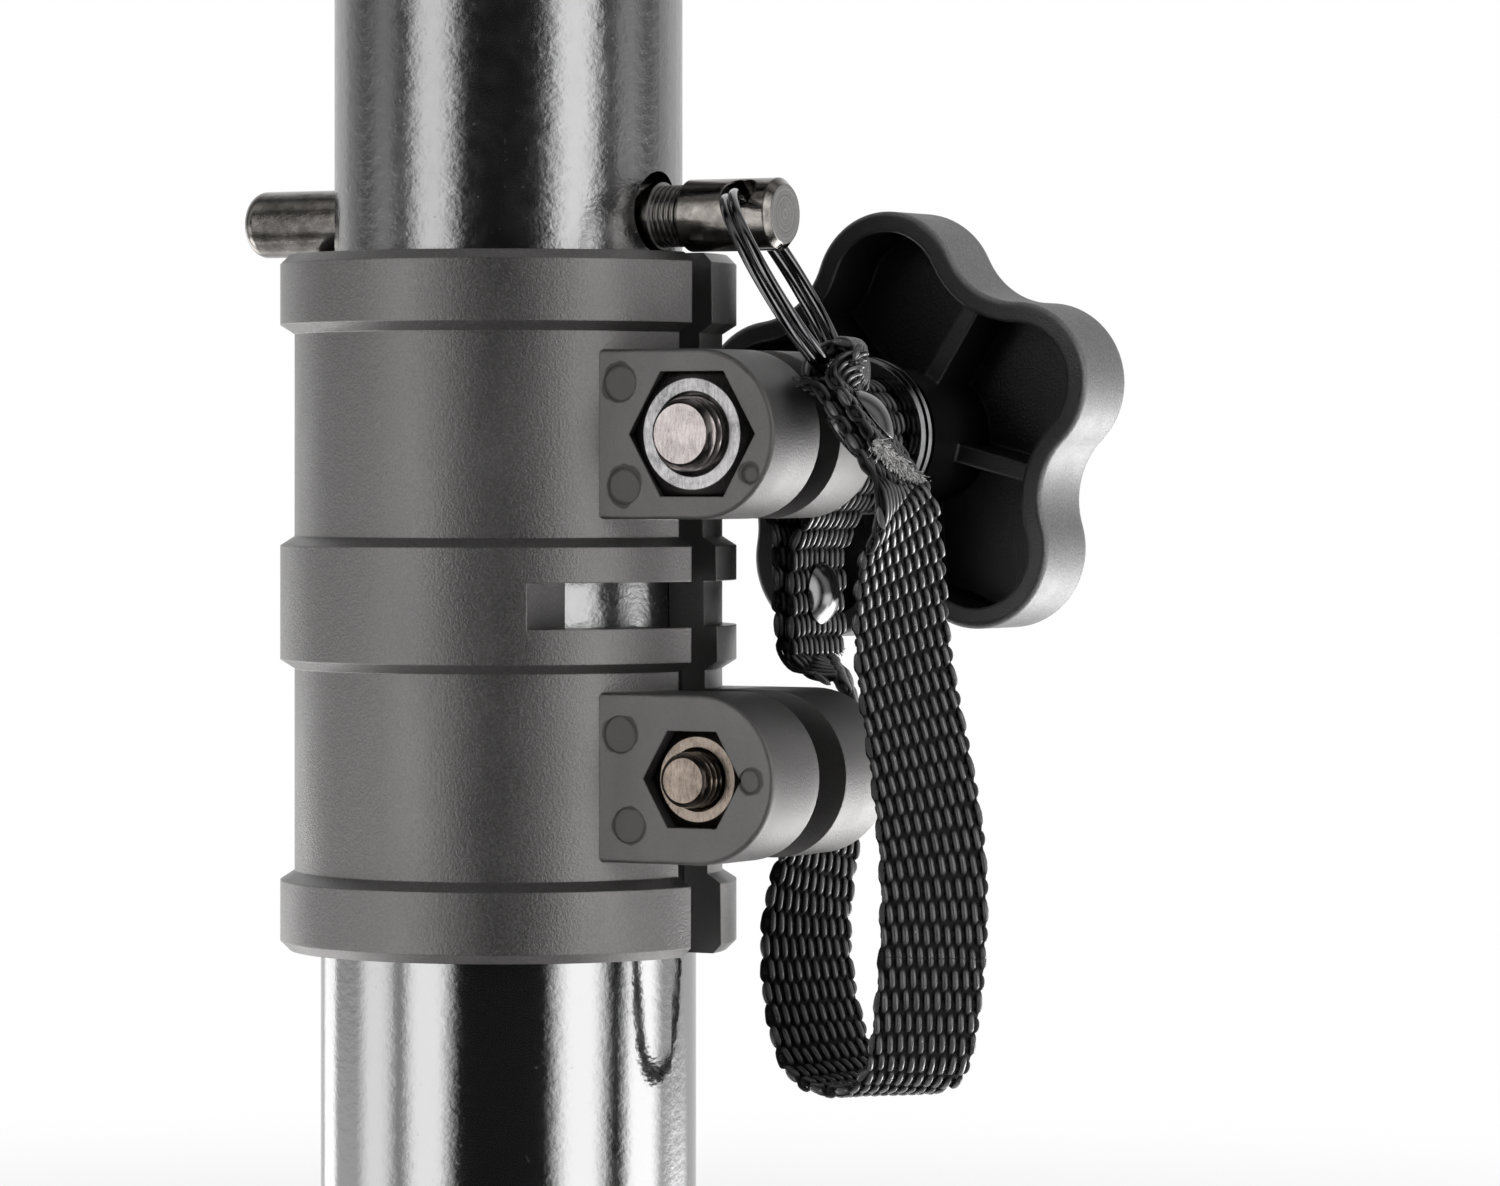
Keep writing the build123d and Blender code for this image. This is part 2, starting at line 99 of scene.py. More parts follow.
def material(name, **values):
    """A new material, its node tree and its shader, with constant values on the shader's own sockets."""
    made = bpy.data.materials.new(name)
    made.use_nodes = True
    tree = made.node_tree
    shader = tree.nodes["Principled BSDF"]
    for socket, value in values.items():
        shader.inputs[socket.replace("_", " ")].default_value = value
    return made, tree, shader


def dress(tree, shader, **values):
    """Links the values that vary over the surface to the shader's sockets."""
    for socket, value in values.items():
        tree.links.new(value, shader.inputs[socket.replace("_", " ")])


def place(tree, stretch=(1, 1, 1), uv=None):
    """Coordinates on the piece, in metres, or along a strap by its own UV map."""
    if uv:
        source = node(tree, "UVMap", uv_map=uv).outputs["UV"]
    else:
        source = node(tree, "TexCoord").outputs["Object"]
    return node(tree, "Mapping", {"Vector": source, "Scale": stretch}).outputs["Vector"]


def part_of(tree, vector, axis):
    """One coordinate of a vector."""
    return node(tree, "SeparateXYZ", {0: vector}).outputs[axis]


def facing(tree, axis):
    """How far the surface faces along an axis, from -1 to 1."""
    return part_of(tree, node(tree, "TexCoord").outputs["Normal"], axis)


def maths(tree, operation, first, second=0.0):
    """One or two values carried through an operation."""
    return node(tree, "Math", {0: first, 1: second}, operation=operation).outputs["Value"]


def vector_maths(tree, operation, *vectors):
    """Vectors carried through an operation that gives a value or another vector."""
    made = node(tree, "VectorMath", dict(enumerate(vectors)), operation=operation)
    return made.outputs["Value" if operation in ("DISTANCE", "DOT_PRODUCT", "LENGTH") else "Vector"]


def noise(tree, at, scale, detail=2.0, rough=0.5):
    """Noise of about 1/scale metres across."""
    inputs = {"Vector": at, "Scale": scale, "Detail": detail, "Roughness": rough}
    return node(tree, "TexNoise", inputs).outputs["Fac"]


def spread(tree, value, low, high, start=0.3, end=0.7, kind="LINEAR"):
    """A value carried from start..end to low..high, held at the ends."""
    inputs = {"Value": value, "From Min": start, "From Max": end, "To Min": low, "To Max": high}
    return node(tree, "MapRange", inputs, interpolation_type=kind).outputs["Result"]


def tint(tree, value, first, second):
    """A colour between two, by a value from 0 to 1; each is a colour or another node's output."""
    ends = [c if isinstance(c, bpy.types.NodeSocket) else (*c, 1) for c in (first, second)]
    inputs = {"Factor": value, "A": ends[0], "B": ends[1]}
    return node(tree, "Mix", inputs, data_type="RGBA").outputs["Result"]


def bump(tree, height, deep, normal=None):
    """A normal bent by a height of 0..1 that stands for this depth in metres."""
    inputs = {"Height": height, "Distance": deep, "Strength": 1.0}
    if normal:
        inputs["Normal"] = normal
    return node(tree, "Bump", inputs).outputs["Normal"]


def soft_edges(tree, radius):
    """A normal that rounds the sharp edges of a moulded or turned piece."""
    return node(tree, "Bevel", {"Radius": radius}, samples=6).outputs["Normal"]


# Materials. Noise scales are per metre; BLOTCHES is the scale of patches on paint and plating
BLOTCHES = 420
TUBE_BLACK = (0.006, 0.006, 0.0065, 1)


def tube_look(name, ior, rough, grain, peel, waves):
    """Gloss black tube: fine feathering grain, orange peel and long shallow waves, by depth in mm."""
    made, tree, shader = material(name, Base_Color=TUBE_BLACK, IOR=ior)
    at = place(tree)
    clouds = noise(tree, at, BLOTCHES, 4, 0.65)
    fine = noise(tree, at, 2200, 2, 0.5)
    middling = noise(tree, place(tree, (1, 1, 1.6)), 620, 2, 0.5)
    long = noise(tree, place(tree, (1, 1, 0.35)), 70, 1, 0.4)
    specks = spread(tree, noise(tree, at, 1500, 1), 0, 0.12, 0.72, 0.78)
    cloudy = spread(tree, clouds, rough * 0.85, rough * 1.2, 0.35, 0.65)
    peeled = bump(tree, middling, mm(peel), bump(tree, long, mm(waves)))
    dress(
        tree,
        shader,
        Roughness=maths(tree, "ADD", cloudy, specks),
        Normal=bump(tree, fine, mm(grain), peeled),
    )
    return made


SLEEVE_DARK = (0.0165, 0.016, 0.0158)
SLEEVE_PALE = (0.058, 0.0555, 0.0552)

# Round moulding marks on the front of the lugs: place and width in millimetres
MARKS = [
    (BODY_R - 1.6, UPPER_Z + 5.4, 3.9),
    (BODY_R - 1.1, UPPER_Z - 5.5, 3.9),
    (LUG_X + 6.2, UPPER_Z - 4.2, 2.0),
    (BODY_R - 1.6, LOWER_Z + 4.6, 3.9),
    (BODY_R - 0.5, LOWER_Z - 5.0, 3.8),
    (LUG_X + 6.2, LOWER_Z, 2.6),
]
MARK_WANDER = mm(0.42)
MARK_BLUR = mm(0.12)


def moulding_marks(tree, at):
    """Dark, uneven rings round the marks and less of the same inside them, on the front of the lugs."""
    flat = place(tree, (1, 0, 1))
    near, inside = 1.0, 1.0
    for x, z, wide in MARKS:
        past = maths(tree, "SUBTRACT", vector_maths(tree, "DISTANCE", flat, mm(x, 0, z)), mm(wide / 2))
        near = maths(tree, "MINIMUM", maths(tree, "ABSOLUTE", past), near)
        inside = maths(tree, "MINIMUM", past, inside)
    uneven = spread(tree, noise(tree, at, BLOTCHES, 3), 0, MARK_WANDER, 0.35, 0.7)
    rings = spread(tree, maths(tree, "SUBTRACT", near, uneven), 1, 0, 0, MARK_BLUR)
    discs = spread(tree, inside, 0.45, 0, mm(-0.1), 0)
    front = spread(tree, part_of(tree, at, "Y"), 1, 0, mm(-12.5), mm(-12))
    return maths(tree, "MULTIPLY", maths(tree, "MAXIMUM", rings, discs), front)


def lug_share(tree, at):
    """1 on the flat fronts of the lugs and on what stands out past the rings, and 0 elsewhere."""
    out = part_of(tree, at, "X")
    flat = spread(tree, facing(tree, "Y"), 1, 0, -0.98, -0.94)
    fronts = maths(tree, "MULTIPLY", flat, spread(tree, out, 0, 1, mm(10), mm(11)))
    return maths(tree, "MAXIMUM", fronts, spread(tree, out, 0, 1, mm(25.2), mm(26)))


def sleeve_look():
    """Moulded grey nylon with glass fibre: a fine pale grain, faint flow marks, and duller lugs with painted
    shade on them.
    """
    made, tree, shader = material("sleeve_nylon", IOR=2.05, Specular_Tint=(1.0, 0.97, 0.96, 1))
    at = place(tree)
    grain = noise(tree, at, 3300, 3, 0.7)
    flow = noise(tree, place(tree, (1, 1, 0.4)), 160, 4, 0.6)
    marks = moulding_marks(tree, at)
    lugs = lug_share(tree, at)
    shade = maths(tree, "ADD", spread(tree, grain, 0, 0.8, 0.42, 0.66), spread(tree, flow, 0, 0.2))
    shade = maths(tree, "MULTIPLY", shade, spread(tree, marks, 1, 0, 0, 1))
    # Painted shade: the lugs' fronts and barrels darker than the body; the roughness below makes them duller
    shade = maths(tree, "MULTIPLY", shade, spread(tree, lugs, 1, 0.3, 0, 1))
    rough = maths(tree, "ADD", spread(tree, flow, 0.32, 0.42), maths(tree, "MULTIPLY", marks, 0.3))
    dress(
        tree,
        shader,
        Base_Color=tint(tree, shade, SLEEVE_DARK, SLEEVE_PALE),
        Roughness=maths(tree, "ADD", rough, maths(tree, "MULTIPLY", lugs, 0.16)),
        Normal=bump(tree, grain, mm(0.06), soft_edges(tree, mm(0.22))),
    )
    return made


# Colour of the painted shade on the zinc looks
PAINTED_SHADE_TONE = (0.03, 0.026, 0.024)


def zinc_look(name, dark, pale, edge, z, unshaded_r, shaded_r):
    """Plated steel about a screw's axis: a brushed, blotchy face, with painted shade beside it and between
    the threads.
    """
    made, tree, shader = material(name, Metallic=1.0)
    blotch = noise(tree, place(tree), BLOTCHES, 4, 0.7)
    brushed = noise(tree, place(tree, (4, 1, 1)), 1100, 3, 0.65)
    from_axis = vector_maths(tree, "DISTANCE", place(tree, (1, 0, 1)), mm(BOLT_X, 0, z))
    side = spread(tree, maths(tree, "ABSOLUTE", facing(tree, "Y")), 1, 0, 0.85, 0.95)
    # Painted shade: darker off the front face, round the nut and between the threads, by distance from the
    # axis
    painted_shade = spread(tree, from_axis, 0, 0.9, mm(unshaded_r), mm(shaded_r))
    painted_shade = maths(tree, "MULTIPLY", side, painted_shade)
    shade = spread(tree, blotch, 0, 0.65, 0.35, 0.65)
    shade = maths(tree, "ADD", shade, spread(tree, brushed, 0, 0.35, 0.35, 0.65))
    shade = maths(tree, "SUBTRACT", shade, maths(tree, "MULTIPLY", painted_shade, 2.0))
    dress(
        tree,
        shader,
        Base_Color=tint(tree, painted_shade, tint(tree, shade, dark, pale), PAINTED_SHADE_TONE),
        Roughness=spread(tree, blotch, 0.24, 0.39),
        Normal=bump(tree, brushed, mm(0.03), soft_edges(tree, mm(edge))),
    )
    return made


def black_steel_look():
    """Dark plated steel with fine scratches."""
    made, tree, shader = material("black_steel", Metallic=1.0)
    at = place(tree)
    blotch = noise(tree, at, BLOTCHES, 4, 0.6)
    scratch = noise(tree, at, 900, 3, 0.65)
    rough = spread(tree, blotch, 0.08, 0.13)
    dress(
        tree,
        shader,
        Base_Color=tint(tree, spread(tree, blotch, 0, 1), (0.09, 0.09, 0.092), (0.16, 0.16, 0.163)),
        Roughness=maths(tree, "MULTIPLY", spread(tree, scratch, 0.85, 1.35), rough),
        Normal=bump(tree, scratch, mm(0.01), soft_edges(tree, mm(0.12))),
    )
    return made


def rivet_look():
    """Black lacquer over a pressed rivet, with fine rub marks."""
    made, tree, shader = material("rivet_lacquer", IOR=2.1)
    rub = noise(tree, place(tree), 1600, 3, 0.6)
    dress(
        tree,
        shader,
        Base_Color=tint(tree, spread(tree, rub, 0, 1), (0.004, 0.004, 0.0042), (0.012, 0.012, 0.0123)),
        Roughness=spread(tree, rub, 0.1, 0.19),
        Normal=bump(tree, rub, mm(0.003), soft_edges(tree, mm(0.15))),
    )
    return made


def pin_look():
    """Dark nickel, scratched along the pin, with the paler rings of a turned face at its end."""
    made, tree, shader = material("pin_nickel", Metallic=1.0)
    blotch = noise(tree, place(tree), BLOTCHES, 4, 0.6)
    scratch = noise(tree, place(tree, (0.3, 1, 1)), 1400, 4, 0.75)
    from_axis = vector_maths(tree, "DISTANCE", place(tree, (0, 1, 1)), mm(0, 0, PIN_Z))
    lathe = noise(tree, node(tree, "CombineXYZ", {"X": from_axis}).outputs["Vector"], 3200, 3, 0.6)
    end = spread(tree, facing(tree, "X"), 0, 1, 0.8, 0.95)
    dark = tint(tree, spread(tree, blotch, 0, 1), (0.085, 0.077, 0.07), (0.25, 0.235, 0.22))
    pale = tint(tree, spread(tree, lathe, 0, 1), (0.15, 0.148, 0.145), (0.36, 0.355, 0.35))
    lines = maths(tree, "ADD", maths(tree, "MULTIPLY", lathe, end), scratch)
    dress(
        tree,
        shader,
        Base_Color=tint(tree, end, dark, pale),
        Roughness=maths(tree, "ADD", spread(tree, scratch, 0.08, 0.2), maths(tree, "MULTIPLY", end, 0.18)),
        Normal=bump(tree, lines, mm(0.03), soft_edges(tree, mm(0.3))),
    )
    return made


def knob_look():
    """Black plastic: a fine spark-eroded grain on the outer wall, paler there partly from the grain and
    partly from painted light, smoother on the rim and inside.
    """
    made, tree, shader = material("knob_plastic")
    at = place(tree)
    grain = noise(tree, at, 3600, 3, 0.7)
    cloud = noise(tree, at, 260, 4, 0.65)
    radial = vector_maths(tree, "SUBTRACT", place(tree, (1, 0, 1)), mm(BOLT_X, 0, UPPER_Z))
    spoke = vector_maths(tree, "NORMALIZE", radial)
    outward = vector_maths(tree, "DOT_PRODUCT", spoke, node(tree, "TexCoord").outputs["Normal"])
    past_hub = spread(tree, vector_maths(tree, "LENGTH", radial), 0, 1, mm(10.5), mm(11.5))
    wall = maths(tree, "MULTIPLY", spread(tree, outward, 0, 1, 0.1, 0.5), past_hub)
    # The outer wall's paler colour: partly its spark-eroded grain, partly painted light from the right
    shade = maths(tree, "MULTIPLY", wall, spread(tree, grain, 0.3, 1, 0.38, 0.68))
    cloudy = spread(tree, cloud, 0.32, 0.38, 0.35, 0.65)
    dress(
        tree,
        shader,
        Base_Color=tint(tree, shade, (0.0045, 0.0045, 0.005), (0.125, 0.124, 0.125)),
        Roughness=maths(tree, "ADD", cloudy, maths(tree, "MULTIPLY", wall, 0.19)),
        IOR=spread(tree, wall, 1.62, 2.05, 0, 1),
        Normal=bump(tree, grain, mm(0.05), soft_edges(tree, mm(0.6))),
    )
    return made


def plug_look():
    """Plain black plastic, a little worn where it rubs on the tube."""
    made, tree, shader = material("plug_plastic", IOR=1.5)
    rub = noise(tree, place(tree, (1, 1, 8)), 300, 4, 0.6)
    grain = noise(tree, place(tree), 4000)
    dress(
        tree,
        shader,
        Base_Color=tint(tree, spread(tree, rub, 0, 1), (0.012, 0.012, 0.012), (0.03, 0.03, 0.03)),
        Roughness=spread(tree, rub, 0.4, 0.6),
        Normal=bump(tree, grain, mm(0.01), soft_edges(tree, mm(0.2))),
    )
    return made


def webbing_look():
    """Black nylon yarn: fine fibres along each yarn, a soft gloss and a painted highlight on the outer side,
    painted shade in the hollows, and specks of dust.
    """
    made, tree, shader = material("webbing", IOR=1.6)
    fibres = noise(tree, place(tree, (140, 5.0, 1), "yarn"), 1.0, 3, 0.6)
    tufts = noise(tree, place(tree, (600, 1.2, 1), "yarn"), 1.0, 2, 0.5)
    outer = spread(tree, node(tree, "Attribute", attribute_name="outer").outputs["Fac"], 0, 1, 0.45, 0.95)
    dust = spread(tree, noise(tree, place(tree), 2600, 1), 0, 1, 0.75, 0.78)
    # Painted light and shade: pale where the yarn stands out, dark in the hollows between yarns
    shade = maths(tree, "MULTIPLY", outer, maths(tree, "ADD", spread(tree, tufts, 0.14, 0.3), dust))
    worn = maths(tree, "SUBTRACT", 1.15, outer)
    dress(
        tree,
        shader,
        Base_Color=tint(tree, shade, (0.0025, 0.0025, 0.0026), (0.27, 0.27, 0.27)),
        Roughness=maths(tree, "ADD", worn, spread(tree, fibres, 0, 0.16)),
        Normal=bump(tree, fibres, mm(0.05)),
    )
    return made


def fray_look():
    """Pale broken fibre ends."""
    made, tree, shader = material("fray", Roughness=0.6)
    shade = spread(tree, noise(tree, place(tree, (900, 2, 1), "yarn"), 1.0, 2), 0, 1)
    dress(tree, shader, Base_Color=tint(tree, shade, (0.08, 0.08, 0.08), (0.8, 0.79, 0.78)))
    return made


ZINC_DARK = (0.12, 0.118, 0.12)
ZINC_PALE = (0.46, 0.45, 0.455)
STUD_DARK = (0.22, 0.195, 0.19)
STUD_PALE = (0.5, 0.455, 0.445)
BRONZE_DARK = (0.10, 0.08, 0.066)
BRONZE_PALE = (0.30, 0.25, 0.21)
# After its colours, each zinc look has its edges' radius, its axis's height, and the radii where its painted
# shade begins and is full
LOOKS = {
    "tube_upper": tube_look("tube_upper", ior=2.75, rough=0.19, grain=0.018, peel=0.045, waves=0.05),
    "tube_lower": tube_look("tube_lower", ior=3.4, rough=0.1, grain=0.009, peel=0.02, waves=0.14),
    "sleeve": sleeve_look(),
    "zinc": zinc_look("zinc", ZINC_DARK, ZINC_PALE, 0.15, UPPER_Z, 5.8, 6.0),
    "stud_zinc": zinc_look("stud_zinc", STUD_DARK, STUD_PALE, 0.05, UPPER_Z, 3.8, 3.3),
    "dark_zinc": zinc_look("dark_zinc", BRONZE_DARK, BRONZE_PALE, 0.12, LOWER_Z, 4.4, 4.6),
    "screw_zinc": zinc_look("screw_zinc", BRONZE_DARK, BRONZE_PALE, 0.05, LOWER_Z, 2.9, 2.5),
    "black_steel": black_steel_look(),
    "rivet": rivet_look(),
    "pin": pin_look(),
    "knob": knob_look(),
    "plug": plug_look(),
    "webbing": webbing_look(),
    "fray": fray_look(),
}
NODE_LOOKS = {
    "outer_tube": "tube_lower",
    "inner_tube": "tube_upper",
    "guide_plug": "plug",
    "clamp_sleeve": "sleeve",
    "clamp_nut": "zinc",
    "lower_nut": "dark_zinc",
    "lower_screw": "dark_zinc",
    "strap_bush": "plug",
    "inner_washer": "black_steel",
    "outer_washer": "black_steel",
    "star_knob": "knob",
    "knob_stud": "zinc",
    "lock_pin": "pin",
    "split_ring": "black_steel",
    "strap_rear": "webbing",
    "strap_front": "webbing",
    "rear_rivet": "rivet",
    "rear_rivet_cap": "rivet",
    "front_rivet": "rivet",
    "front_rivet_cap": "rivet",
}
for name, look in NODE_LOOKS.items():
    for slot in nodes[name].material_slots:
        slot.material = LOOKS[look]


# Mesh helpers. ROUND_SHARE is the share of a yarn's own round section in how far out its surface lies
ROUND_SHARE = 0.4


class Shape:
    """Vertices, faces, and the yarn's length and turn at each vertex, gathered from many sweeps."""

    def __init__(self):
        self.points, self.faces, self.along, self.tints, self.outer = [], [], [], [], []
        self.count = 0

    def sweep(self, centres, wide, high, sides, tint_index=0, start=0.0, lift=None):
        """An oval section with these half axes carried along the centres, closed at both ends."""
        turns = np.linspace(0, 2 * pi, sides, endpoint=False)
        rings = (
            centres[:, None, :]
            + np.cos(turns)[None, :, None] * wide[:, None, :]
            + np.sin(turns)[None, :, None] * high[:, None, :]
        )
        run = np.concatenate([[0], np.cumsum(np.linalg.norm(np.diff(centres, axis=0), axis=1))])
        index = np.arange(len(centres) * sides).reshape(-1, sides) + self.count
        following = np.roll(index, -1, axis=1)
        quads = np.stack([index[:-1], following[:-1], following[1:], index[1:]], axis=-1).reshape(-1, 4)
        faces = [tuple(q) for q in quads.tolist()]
        faces.append(tuple(index[0][::-1].tolist()))
        faces.append(tuple(index[-1].tolist()))
        self.points.append(rings.reshape(-1, 3))
        grid = np.stack(np.broadcast_arrays(start + run[:, None], turns[None, :] / (2 * pi)), axis=-1)
        self.along.append(grid.reshape(-1, 2))
        raised = np.ones(len(centres)) if lift is None else lift
        # How far out the surface lies: this sets the webbing's painted highlight and painted shade
        self.outer.append(np.abs(raised[:, None] + np.sin(turns)[None, :] * ROUND_SHARE).ravel())
        self.faces += faces
        self.tints += [tint_index] * len(faces)
        self.count += rings.shape[0] * sides

    def piece(self, name, looks):
        """The finished object, shaded smooth."""
        mesh = bpy.data.meshes.new(name)
        mesh.from_pydata(np.concatenate(self.points).tolist(), [], self.faces)
        mesh.polygons.foreach_set("use_smooth", [True] * len(mesh.polygons))
        mesh.polygons.foreach_set("material_index", self.tints)
        layer = mesh.uv_layers.new(name="yarn")
        corners = np.zeros(len(mesh.loops), np.int32)
        mesh.loops.foreach_get("vertex_index", corners)
        layer.data.foreach_set("uv", np.concatenate(self.along)[corners].ravel())
        outer = mesh.attributes.new("outer", "FLOAT", "POINT")
        outer.data.foreach_set("value", np.concatenate(self.outer))
        for look in looks:
            mesh.materials.append(LOOKS[look])
        made = bpy.data.objects.new(name, mesh)
        scene.collection.objects.link(made)
        return made


def unit(vectors):
    """Vectors brought to length 1."""
    return vectors / np.linalg.norm(vectors, axis=-1, keepdims=True)


# The split ring, which the strap's front end goes round
RING_AT = Vector((36.6971, -4.2296, 117.772))
RING_AXIS = Vector((0.81435, 0.277821, 0.509559))
RING_R = 11.05
WIRE = 1.1
RING_FOOT = (RING_AXIS * RING_AXIS.z - Vector((0, 0, 1))).normalized()
RING_LOW = RING_AT + RING_FOOT * RING_R

# Strap routes: each stop is a place, the heading across the strap in degrees and the share of its width
LOW_BEND = Vector((BOLT_X + 7.5, LOOP_Y - 3.1, SLEEVE_FOOT - 14.8))
FOLD_ALONG = Vector((0.665, -0.27, -0.697)).normalized()
FOLD_TURN = 108.4


def heading(turn):
    """Level direction across the strap, turned from +X."""
    return Vector((cos(radians(turn)), sin(radians(turn)), 0))


def by_bend(x, y, z):
    """A place near the strap's lowest bend."""
    return LOW_BEND + Vector((x, y, z))


def by_ring(out, down):
    """A place near the ring's lowest point, out along its axis and down in its plane."""
    return RING_LOW + RING_AXIS * out + RING_FOOT * down


FOLD_FACE = FOLD_ALONG.cross(heading(FOLD_TURN)).normalized()
FOLD_MID = RING_LOW + FOLD_ALONG * 7.5 + Vector((-0.7, -0.4, 0))
INNER_LAY = FOLD_MID - FOLD_FACE * LAY
OUTER_LAY = FOLD_MID + FOLD_FACE * LAY
SEAM = by_bend(10.1, -5.85, 15.05)
REAR_ROUTE = [
    (Vector((TAIL_X + LAY, LOOP_Y, RIVET_Z - 6.6)), 90, 1),
    (Vector((TAIL_X + LAY, LOOP_Y, RIVET_Z + 1.0)), 90, 1),
    (Vector((TAIL_X + LAY, LOOP_Y, RIVET_Z + 6.0)), 90, 1),
    (Vector((BOLT_X + WRAP, LOOP_Y, UPPER_Z - CUT)), 90, 1),
    (Vector((BOLT_X + WRAP, LOOP_Y, UPPER_Z + CUT)), 90, 1),
    (Vector((BOLT_X + CUT, LOOP_Y, UPPER_Z + WRAP)), 90, 1),
    (Vector((BOLT_X - CUT, LOOP_Y, UPPER_Z + WRAP)), 90, 1),
    (Vector((BOLT_X - WRAP, LOOP_Y, UPPER_Z + CUT)), 90, 1),
    (Vector((BOLT_X - WRAP, LOOP_Y, UPPER_Z - CUT)), 90, 1),
    (Vector((TAIL_X - LAY, LOOP_Y, RIVET_Z + 6.0)), 90, 1),
    (Vector((TAIL_X - LAY, LOOP_Y, RIVET_Z - 0.2)), 90, 1),
    (Vector((TAIL_X - LAY, LOOP_Y, RIVET_Z - 6.6)), 90, 1),
    (by_bend(-6.9, 6.8, 44.4), 118, 1),
    (by_bend(-7.3, 8.8, 38.3), 117, 1),
    (by_bend(-9.2, 8.2, 31.8), 88, 1),
    (by_bend(-10.6, 6.8, 24.3), 72, 1),
    (by_bend(-11.7, 5.6, 17.3), 66, 1),
    (by_bend(-10.6, 5.0, 7.8), 60, 1),
    (by_bend(-6.5, 3.2, 0), 55, 1),
    (by_bend(6.5, -3.2, 0), 48, 1),
    (by_bend(9.6, -5.6, 9.8), 45, 1),
    (SEAM, 44.5, 1),
]
FRONT_ROUTE = [
    (SEAM, 44.5, 1),
    (by_bend(10.6, -6.1, 20.3), 44, 1),
    (by_bend(10.2, -6.3, 28.3), 46, 1),
    (by_bend(9.5, -7.7, 36.8), 55, 1),
    (by_bend(8.8, -10.4, 47.3), 62, 1),
    (by_bend(11.0, -15.1, 56.8), 72, 1),
    (INNER_LAY + FOLD_ALONG * 10.0, 98, 1),
    (INNER_LAY + FOLD_ALONG * 6.0, FOLD_TURN, 1),
    (INNER_LAY - FOLD_ALONG * 2.5, FOLD_TURN, 1),
    (INNER_LAY - FOLD_ALONG * 3.8, FOLD_TURN, 1),
    (by_ring(-1.75, 1.8), FOLD_TURN, 0.78),
    (by_ring(-2.3, -2.6), FOLD_TURN, 0.66),
    (by_ring(3.9, -2.6), FOLD_TURN, 0.66),
    (by_ring(1.8, 1.4), FOLD_TURN, 0.85),
    (OUTER_LAY - FOLD_ALONG * 4.4, FOLD_TURN, 0.97),
    (OUTER_LAY - FOLD_ALONG * 2.6, FOLD_TURN, 1),
    (OUTER_LAY + FOLD_ALONG * 7.0, FOLD_TURN, 1),
]


def spline_points(stops):
    """Points in metres along the smooth curve that these stops control."""
    curve = bpy.data.curves.new("route", "CURVE")
    curve.dimensions = "3D"
    curve.resolution_u = 24
    spline = curve.splines.new("NURBS")
    spline.points.add(len(stops) - 1)
    for point, stop in zip(spline.points, stops):
        point.co = (*(stop * 0.001), 1)
    spline.order_u = 3
    spline.use_endpoint_u = True
    holder = bpy.data.objects.new("route", curve)
    mesh = bpy.data.meshes.new_from_object(holder)
    points = np.array([v.co for v in mesh.vertices])
    bpy.data.objects.remove(holder)
    bpy.data.meshes.remove(mesh)
    bpy.data.curves.remove(curve)
    return points


class Lay:
    """The strap's line: its place, the direction across it and its width at any length along it."""

    def __init__(self, route):
        half = STRAP_W / 2
        middle = spline_points([p for p, turn, share in route])
        left = spline_points([p - heading(turn) * half * share for p, turn, share in route])
        right = spline_points([p + heading(turn) * half * share for p, turn, share in route])
        self.run = np.concatenate([[0], np.cumsum(np.linalg.norm(np.diff(middle, axis=0), axis=1))])
        self.length = self.run[-1]
        self.middle, self.wide = middle, right - left

    def at(self, lengths):
        """Places, directions across, faces and width shares at these lengths."""
        def read(values):
            return np.stack([np.interp(lengths, self.run, values[:, k]) for k in range(3)], axis=-1)

        ahead = np.gradient(self.middle, self.run, axis=0)
        forward = unit(read(ahead))
        wide = read(self.wide)
        share = np.linalg.norm(wide, axis=1) / mm(STRAP_W)
        level = unit(wide)
        across = unit(level - forward * np.sum(level * forward, axis=1, keepdims=True))
        return read(self.middle), across, np.cross(forward, across), share


# Weave of the strap: warp yarns, with the unevenness of each
YARNS = 20
YARN_PITCH = mm(0.59)
YARN_HIGH = mm(0.27)
ROW = mm(2.42)
LIFT = mm(0.47)
FLOAT_WIDE = mm(0.335)
CROSS_WIDE = mm(0.25)
FLOAT_FLAT = 2.2
# FLOAT_OUT sets how far out the warp floats count for the webbing's painted highlight and painted shade
FLOAT_OUT = 0.6
SWAY = mm(0.09)
STEP = mm(0.3)
SLIPS = [0.25 * rng.uniform(-1, 1) for i in range(YARNS)]
THICKS = [rng.uniform(0.94, 1.06) for i in range(YARNS)]

# Core, weft, and the weft's loops at each edge: side, rows from loop to loop and half a loop's length
EDGE = (YARNS / 2 - 0.2) * YARN_PITCH
CORE_HIGH = mm(0.16)
WEFT_R = mm(0.3)
WEFT_FLAT = 1.6
WEFT_DIP = mm(0.1)
# WEFT_OUT sets how far out the weft counts for the webbing's painted highlight and painted shade
WEFT_OUT = 0.2
WEFT_POINTS = 41
LOOPS = ((-1, 2, mm(1.35)), (1, 1, mm(0.95)))
LOOP_WIDE = mm(0.34)
LOOP_HIGH = mm(0.42)
LOOP_CURL = mm(0.15)
LOOP_POINTS = 9
END_STEPS = 8


